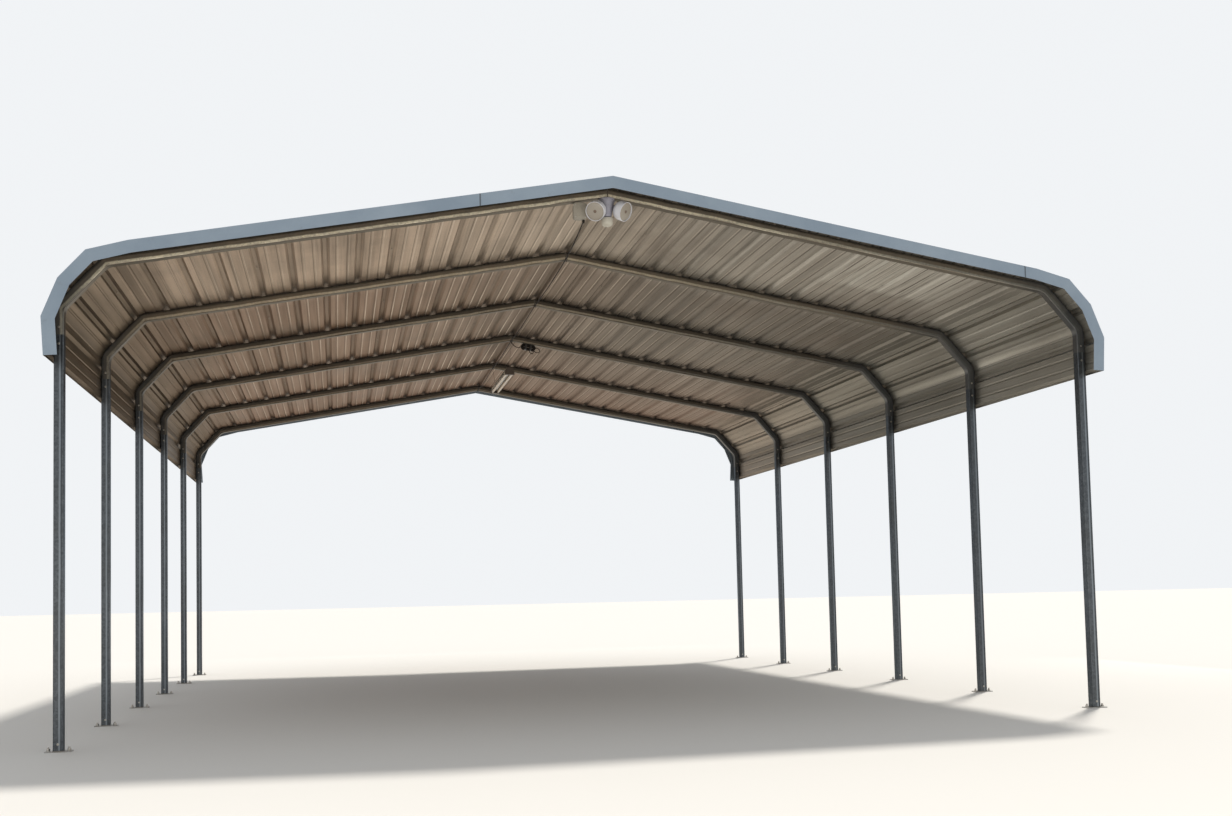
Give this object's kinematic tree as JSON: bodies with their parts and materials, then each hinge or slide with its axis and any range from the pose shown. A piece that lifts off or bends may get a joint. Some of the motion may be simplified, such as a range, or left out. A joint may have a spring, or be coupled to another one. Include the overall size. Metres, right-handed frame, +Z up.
{
  "type": "carport",
  "caption": "Open carport with a low gabled ribbed sheet roof, rounded eaves and short skirts on square steel tube bows, posts and base plates, with lights under the ridge.",
  "frame": {"origin": "centre of the bounding box's bottom face, on the underside of the base plates", "axes": "+X to the right across the width seen from the front, +Y along the ridge from front to back, +Z up"},
  "size_m": [6.7984, 8.0276, 3.4749],
  "materials": {
    "bow_tube": "galvanised, weathered",
    "post_tube": "galvanised, weathered",
    "foot_plate": "galvanised, dull",
    "sleeve_tube": "galvanised",
    "end_trim": "galvanised, blue-grey",
    "roof_sheet": "galvanised, dirt along the bows",
    "junction_box": "weathered grey plastic",
    "flood_base": "grey paint",
    "flood_heads": "white paint, grey lens",
    "flood_sensor": "pale plastic",
    "strip_housing": "dull paint in shade",
    "strip_tubes": "white tube",
    "strip_hangers": "rusty wire",
    "ridge_cable": "black, dusty",
    "cord_hank": "black, dusty"
  },
  "bodies": {
    "root": {"back_left_trim": "end_trim", "back_ridge_trim": "end_trim", "back_right_trim": "end_trim", "bow_1": "bow_tube", "bow_2": "bow_tube", "bow_3": "bow_tube", "bow_4": "bow_tube", "bow_5": "bow_tube", "bow_6": "bow_tube", "cord_hank": "cord_hank", "flood_base": "flood_base", "flood_heads": "flood_heads", "flood_sensor": "flood_sensor", "front_left_trim": "end_trim", "front_ridge_trim": "end_trim", "front_right_trim": "end_trim", "junction_box": "junction_box", "left_eave_panel": "roof_sheet", "left_feet": "foot_plate", "left_roof_panel_1": "roof_sheet", "left_roof_panel_2": "roof_sheet", "left_roof_panel_3": "roof_sheet", "post_left_1": "post_tube", "post_left_2": "post_tube", "post_left_3": "post_tube", "post_left_4": "post_tube", "post_left_5": "post_tube", "post_left_6": "post_tube", "post_right_1": "post_tube", "post_right_2": "post_tube", "post_right_3": "post_tube", "post_right_4": "post_tube", "post_right_5": "post_tube", "post_right_6": "post_tube", "ridge_cable": "ridge_cable", "ridge_panel": "roof_sheet", "right_eave_panel": "roof_sheet", "right_feet": "foot_plate", "right_roof_panel_1": "roof_sheet", "right_roof_panel_2": "roof_sheet", "right_roof_panel_3": "roof_sheet", "sleeves": "sleeve_tube", "strip_hangers": "strip_hangers", "strip_housing": "strip_housing", "strip_tubes": "strip_tubes"}
  },
  "joints": []
}
